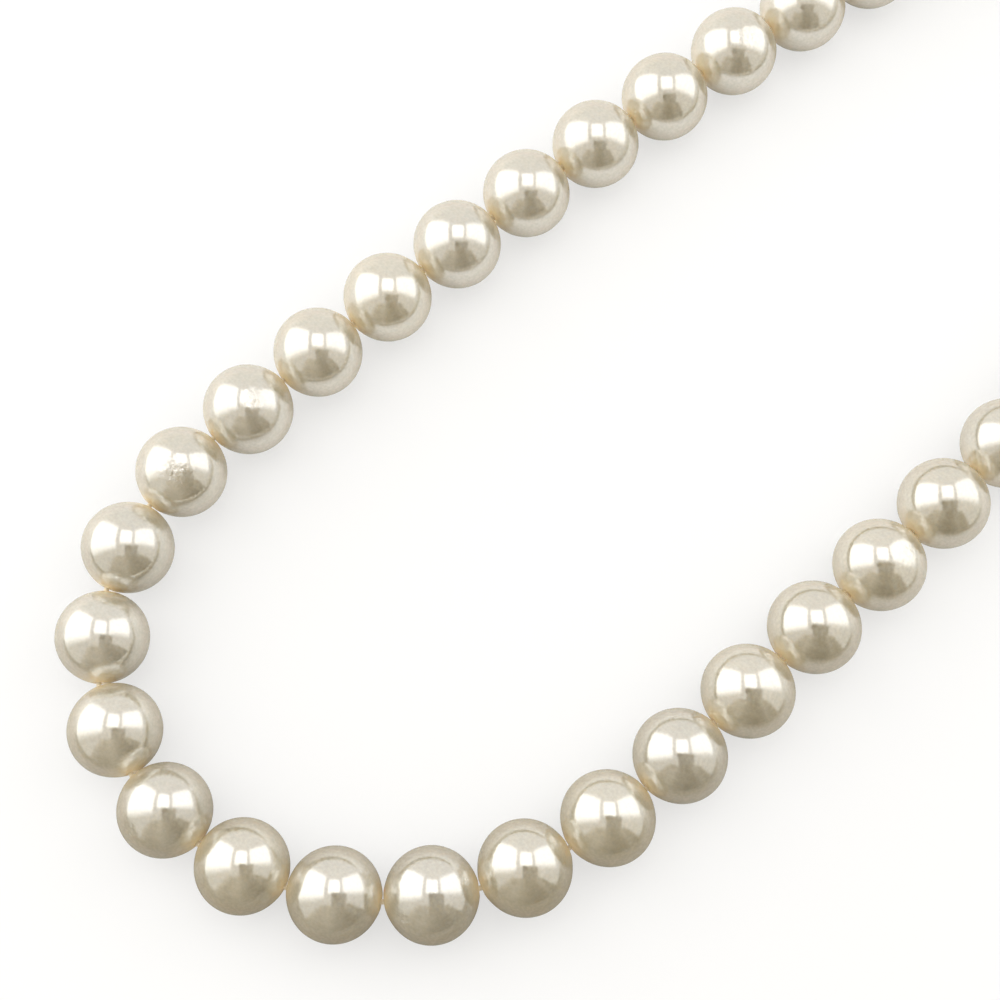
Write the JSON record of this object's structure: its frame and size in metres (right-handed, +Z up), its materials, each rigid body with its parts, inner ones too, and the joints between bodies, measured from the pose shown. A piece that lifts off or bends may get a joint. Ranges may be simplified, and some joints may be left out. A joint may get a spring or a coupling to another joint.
{
  "type": "pearl necklace",
  "caption": "Single strand of round cream-white pearls on one cord, laid open as a U, with bead tips, jump rings, a lobster clasp and a figure-eight tag.",
  "frame": {"origin": "on the table, at the middle of the laid strand's footprint", "axes": "+Z up from the table; +Y along the straight right arm, from the U's closed front to the clasp; +X to the right arm's side"},
  "size_m": [0.06, 0.2124, 0.0086],
  "materials": {
    "pearl": "polished",
    "silk": "satin",
    "clasp_metal": "polished",
    "spring_steel": "satin"
  },
  "bodies": {
    "bead_24": {"pearl_24": "pearl", "cord": "silk"},
    "bead_01": {"pearl_01": "pearl"},
    "bead_02": {"pearl_02": "pearl"},
    "bead_03": {"pearl_03": "pearl"},
    "bead_04": {"pearl_04": "pearl"},
    "bead_05": {"pearl_05": "pearl"},
    "bead_06": {"pearl_06": "pearl"},
    "bead_07": {"pearl_07": "pearl"},
    "bead_08": {"pearl_08": "pearl"},
    "bead_09": {"pearl_09": "pearl"},
    "bead_10": {"pearl_10": "pearl"},
    "bead_11": {"pearl_11": "pearl"},
    "bead_12": {"pearl_12": "pearl"},
    "bead_13": {"pearl_13": "pearl"},
    "bead_14": {"pearl_14": "pearl"},
    "bead_15": {"pearl_15": "pearl"},
    "bead_16": {"pearl_16": "pearl"},
    "bead_17": {"pearl_17": "pearl"},
    "bead_18": {"pearl_18": "pearl"},
    "bead_19": {"pearl_19": "pearl"},
    "bead_20": {"pearl_20": "pearl"},
    "bead_21": {"pearl_21": "pearl"},
    "bead_22": {"pearl_22": "pearl"},
    "bead_23": {"pearl_23": "pearl"},
    "bead_25": {"pearl_25": "pearl"},
    "bead_26": {"pearl_26": "pearl"},
    "bead_27": {"pearl_27": "pearl"},
    "bead_28": {"pearl_28": "pearl"},
    "bead_29": {"pearl_29": "pearl"},
    "bead_30": {"pearl_30": "pearl"},
    "bead_31": {"pearl_31": "pearl"},
    "bead_32": {"pearl_32": "pearl"},
    "bead_33": {"pearl_33": "pearl"},
    "bead_34": {"pearl_34": "pearl"},
    "bead_35": {"pearl_35": "pearl"},
    "bead_36": {"pearl_36": "pearl"},
    "bead_37": {"pearl_37": "pearl"},
    "bead_38": {"pearl_38": "pearl"},
    "bead_39": {"pearl_39": "pearl"},
    "bead_40": {"pearl_40": "pearl"},
    "bead_41": {"pearl_41": "pearl"},
    "bead_42": {"pearl_42": "pearl"},
    "bead_43": {"pearl_43": "pearl"},
    "bead_44": {"pearl_44": "pearl"},
    "bead_45": {"pearl_45": "pearl"},
    "bead_46": {"pearl_46": "pearl"},
    "bead_47": {"pearl_47": "pearl"},
    "tip_left": {"bead_tip_left": "clasp_metal", "knot_left": "silk"},
    "tip_right": {"bead_tip_right": "clasp_metal", "knot_right": "silk"},
    "ring_left": {"jump_ring_left": "clasp_metal"},
    "ring_right": {"jump_ring_right": "clasp_metal"},
    "tag": {"end_tag": "clasp_metal"},
    "clasp": {"clasp_body": "clasp_metal", "lever_pin": "clasp_metal", "lever_spring": "spring_steel"},
    "lever": {"clasp_lever": "clasp_metal"}
  },
  "joints": [
    {"name": "clasp_lever_open", "type": "hinge", "parent": "clasp", "child": "lever", "pos_m": [0.024, 0.09892, 0.0014], "axis": [0, 0, -1], "range_deg": [0, 16], "stiffness_Nm_per_rad": 0.00002, "springref_deg": -20.05},
    {"name": "clasp_swing", "type": "hinge", "parent": "ring_right", "child": "clasp", "pos_m": [0.02575, 0.09557, 0.0014], "axis": [0, 0, 1], "range_deg": [-45, 45]},
    {"name": "end_tag_swing", "type": "hinge", "parent": "ring_left", "child": "tag", "pos_m": [-0.00416, 0.09541, 0.00142], "axis": [0, 0, 1], "range_deg": [-45, 45]},
    {"name": "jump_ring_right_swing", "type": "hinge", "parent": "tip_right", "child": "ring_right", "pos_m": [0.02575, 0.09163, 0.00246], "axis": [0, 0, 1], "range_deg": [-35, 35]},
    {"name": "jump_ring_left_swing", "type": "hinge", "parent": "tip_left", "child": "ring_left", "pos_m": [-0.0048, 0.09142, 0.00246], "axis": [0, 0, 1], "range_deg": [-35, 35]},
    {"name": "bead_tip_right_lift", "type": "hinge", "parent": "bead_47", "child": "tip_right", "pos_m": [0.02575, 0.08749, 0.0043], "axis": [1, 0, 0], "range_deg": [0, 50]},
    {"name": "bead_tip_left_lift", "type": "hinge", "parent": "bead_01", "child": "tip_left", "pos_m": [-0.00544, 0.08733, 0.0043], "axis": [0.9877, -0.1564, 0], "range_deg": [0, 50]},
    {"name": "gap_23", "type": "hinge", "parent": "bead_24", "child": "bead_23", "pos_m": [-0.00678, -0.1021, 0.0043], "axis": [0, 0, -1], "range_deg": [-48, 2]},
    {"name": "gap_24", "type": "hinge", "parent": "bead_24", "child": "bead_25", "pos_m": [0.00203, -0.10164, 0.0043], "axis": [0, 0, 1], "range_deg": [-41, 3], "deforming": ["cord"]},
    {"name": "gap_22", "type": "hinge", "parent": "bead_23", "child": "bead_22", "pos_m": [-0.0151, -0.09907, 0.0043], "axis": [0, 0, 1], "range_deg": [-2, 50]},
    {"name": "gap_25", "type": "hinge", "parent": "bead_25", "child": "bead_26", "pos_m": [0.01016, -0.09835, 0.0043], "axis": [0, 0, -1], "range_deg": [-3, 37]},
    {"name": "gap_21", "type": "hinge", "parent": "bead_22", "child": "bead_21", "pos_m": [-0.02147, -0.09292, 0.0043], "axis": [0, 0, -1], "range_deg": [-48, 2]},
    {"name": "gap_26", "type": "hinge", "parent": "bead_26", "child": "bead_27", "pos_m": [0.01697, -0.09284, 0.0043], "axis": [0, 0, 1], "range_deg": [-35, 3]},
    {"name": "gap_20", "type": "hinge", "parent": "bead_21", "child": "bead_20", "pos_m": [-0.02491, -0.08481, 0.0043], "axis": [0, 0, 1], "range_deg": [-3, 37]},
    {"name": "gap_27", "type": "hinge", "parent": "bead_27", "child": "bead_28", "pos_m": [0.022, -0.08566, 0.0043], "axis": [0, 0, -1], "range_deg": [-3, 35]},
    {"name": "gap_19", "type": "hinge", "parent": "bead_20", "child": "bead_19", "pos_m": [-0.02583, -0.07613, 0.0043], "axis": [0, 0, -1], "range_deg": [-20, 6]},
    {"name": "gap_28", "type": "hinge", "parent": "bead_28", "child": "bead_29", "pos_m": [0.02484, -0.0774, 0.0043], "axis": [0, 0, 1], "range_deg": [-30, 4]},
    {"name": "gap_18", "type": "hinge", "parent": "bead_19", "child": "bead_18", "pos_m": [-0.02567, -0.06746, 0.0043], "axis": [0, 0, 1], "range_deg": [-8, 12]},
    {"name": "gap_29", "type": "hinge", "parent": "bead_29", "child": "bead_30", "pos_m": [0.02575, -0.06874, 0.0043], "axis": [0, 0, -1], "range_deg": [-7, 19]},
    {"name": "gap_17", "type": "hinge", "parent": "bead_18", "child": "bead_17", "pos_m": [-0.02537, -0.05879, 0.0043], "axis": [0, 0, -1], "range_deg": [-12, 9]},
    {"name": "gap_30", "type": "hinge", "parent": "bead_30", "child": "bead_31", "pos_m": [0.02575, -0.06007, 0.0043], "axis": [0, 0, 1], "range_deg": [-11, 8]},
    {"name": "gap_16", "type": "hinge", "parent": "bead_17", "child": "bead_16", "pos_m": [-0.02492, -0.05013, 0.0043], "axis": [0, 0, 1], "range_deg": [-9, 12]},
    {"name": "gap_31", "type": "hinge", "parent": "bead_31", "child": "bead_32", "pos_m": [0.02575, -0.0514, 0.0043], "axis": [0, 0, -1], "range_deg": [-8, 11]},
    {"name": "gap_15", "type": "hinge", "parent": "bead_16", "child": "bead_15", "pos_m": [-0.02431, -0.04148, 0.0043], "axis": [0, 0, -1], "range_deg": [-12, 10]},
    {"name": "gap_32", "type": "hinge", "parent": "bead_32", "child": "bead_33", "pos_m": [0.02575, -0.04273, 0.0043], "axis": [0, 0, 1], "range_deg": [-11, 9]},
    {"name": "gap_14", "type": "hinge", "parent": "bead_15", "child": "bead_14", "pos_m": [-0.02356, -0.03285, 0.0043], "axis": [0, 0, 1], "range_deg": [-10, 12]},
    {"name": "gap_33", "type": "hinge", "parent": "bead_33", "child": "bead_34", "pos_m": [0.02575, -0.03406, 0.0043], "axis": [0, 0, -1], "range_deg": [-9, 11]},
    {"name": "gap_13", "type": "hinge", "parent": "bead_14", "child": "bead_13", "pos_m": [-0.02265, -0.02422, 0.0043], "axis": [0, 0, -1], "range_deg": [-12, 10]},
    {"name": "gap_34", "type": "hinge", "parent": "bead_34", "child": "bead_35", "pos_m": [0.02575, -0.02539, 0.0043], "axis": [0, 0, 1], "range_deg": [-11, 10]},
    {"name": "gap_12", "type": "hinge", "parent": "bead_13", "child": "bead_12", "pos_m": [-0.0216, -0.01562, 0.0043], "axis": [0, 0, 1], "range_deg": [-10, 12]},
    {"name": "gap_35", "type": "hinge", "parent": "bead_35", "child": "bead_36", "pos_m": [0.02575, -0.01672, 0.0043], "axis": [0, 0, -1], "range_deg": [-11, 11]},
    {"name": "gap_11", "type": "hinge", "parent": "bead_12", "child": "bead_11", "pos_m": [-0.02039, -0.00703, 0.0043], "axis": [0, 0, -1], "range_deg": [-12, 10]},
    {"name": "gap_36", "type": "hinge", "parent": "bead_36", "child": "bead_37", "pos_m": [0.02575, -0.00805, 0.0043], "axis": [0, 0, 1], "range_deg": [-11, 11]},
    {"name": "gap_10", "type": "hinge", "parent": "bead_11", "child": "bead_10", "pos_m": [-0.01903, 0.00153, 0.0043], "axis": [0, 0, 1], "range_deg": [-11, 11]},
    {"name": "gap_37", "type": "hinge", "parent": "bead_37", "child": "bead_38", "pos_m": [0.02575, 0.00062, 0.0043], "axis": [0, 0, -1], "range_deg": [-11, 11]},
    {"name": "gap_09", "type": "hinge", "parent": "bead_10", "child": "bead_09", "pos_m": [-0.01768, 0.0101, 0.0043], "axis": [0, 0, -1], "range_deg": [-11, 11]},
    {"name": "gap_38", "type": "hinge", "parent": "bead_38", "child": "bead_39", "pos_m": [0.02575, 0.00929, 0.0043], "axis": [0, 0, 1], "range_deg": [-11, 11]},
    {"name": "gap_08", "type": "hinge", "parent": "bead_09", "child": "bead_08", "pos_m": [-0.01632, 0.01866, 0.0043], "axis": [0, 0, 1], "range_deg": [-11, 11]},
    {"name": "gap_39", "type": "hinge", "parent": "bead_39", "child": "bead_40", "pos_m": [0.02575, 0.01796, 0.0043], "axis": [0, 0, -1], "range_deg": [-11, 11]},
    {"name": "gap_07", "type": "hinge", "parent": "bead_08", "child": "bead_07", "pos_m": [-0.01496, 0.02722, 0.0043], "axis": [0, 0, -1], "range_deg": [-11, 11]},
    {"name": "gap_40", "type": "hinge", "parent": "bead_40", "child": "bead_41", "pos_m": [0.02575, 0.02663, 0.0043], "axis": [0, 0, 1], "range_deg": [-11, 11]},
    {"name": "gap_06", "type": "hinge", "parent": "bead_07", "child": "bead_06", "pos_m": [-0.01361, 0.03579, 0.0043], "axis": [0, 0, 1], "range_deg": [-11, 11]},
    {"name": "gap_41", "type": "hinge", "parent": "bead_41", "child": "bead_42", "pos_m": [0.02575, 0.0353, 0.0043], "axis": [0, 0, -1], "range_deg": [-11, 11]},
    {"name": "gap_05", "type": "hinge", "parent": "bead_06", "child": "bead_05", "pos_m": [-0.01225, 0.04435, 0.0043], "axis": [0, 0, -1], "range_deg": [-11, 11]},
    {"name": "gap_42", "type": "hinge", "parent": "bead_42", "child": "bead_43", "pos_m": [0.02575, 0.04397, 0.0043], "axis": [0, 0, 1], "range_deg": [-11, 11]},
    {"name": "gap_04", "type": "hinge", "parent": "bead_05", "child": "bead_04", "pos_m": [-0.01089, 0.05291, 0.0043], "axis": [0, 0, 1], "range_deg": [-11, 11]},
    {"name": "gap_43", "type": "hinge", "parent": "bead_43", "child": "bead_44", "pos_m": [0.02575, 0.05264, 0.0043], "axis": [0, 0, -1], "range_deg": [-11, 11]},
    {"name": "gap_03", "type": "hinge", "parent": "bead_04", "child": "bead_03", "pos_m": [-0.00954, 0.06147, 0.0043], "axis": [0, 0, -1], "range_deg": [-11, 11]},
    {"name": "gap_44", "type": "hinge", "parent": "bead_44", "child": "bead_45", "pos_m": [0.02575, 0.06131, 0.0043], "axis": [0, 0, 1], "range_deg": [-11, 11]},
    {"name": "gap_02", "type": "hinge", "parent": "bead_03", "child": "bead_02", "pos_m": [-0.00818, 0.07004, 0.0043], "axis": [0, 0, 1], "range_deg": [-11, 11]},
    {"name": "gap_45", "type": "hinge", "parent": "bead_45", "child": "bead_46", "pos_m": [0.02575, 0.06998, 0.0043], "axis": [0, 0, -1], "range_deg": [-11, 11]},
    {"name": "gap_01", "type": "hinge", "parent": "bead_02", "child": "bead_01", "pos_m": [-0.00683, 0.0786, 0.0043], "axis": [0, 0, -1], "range_deg": [-11, 11]},
    {"name": "gap_46", "type": "hinge", "parent": "bead_46", "child": "bead_47", "pos_m": [0.02575, 0.07865, 0.0043], "axis": [0, 0, 1], "range_deg": [-11, 11]}
  ]
}
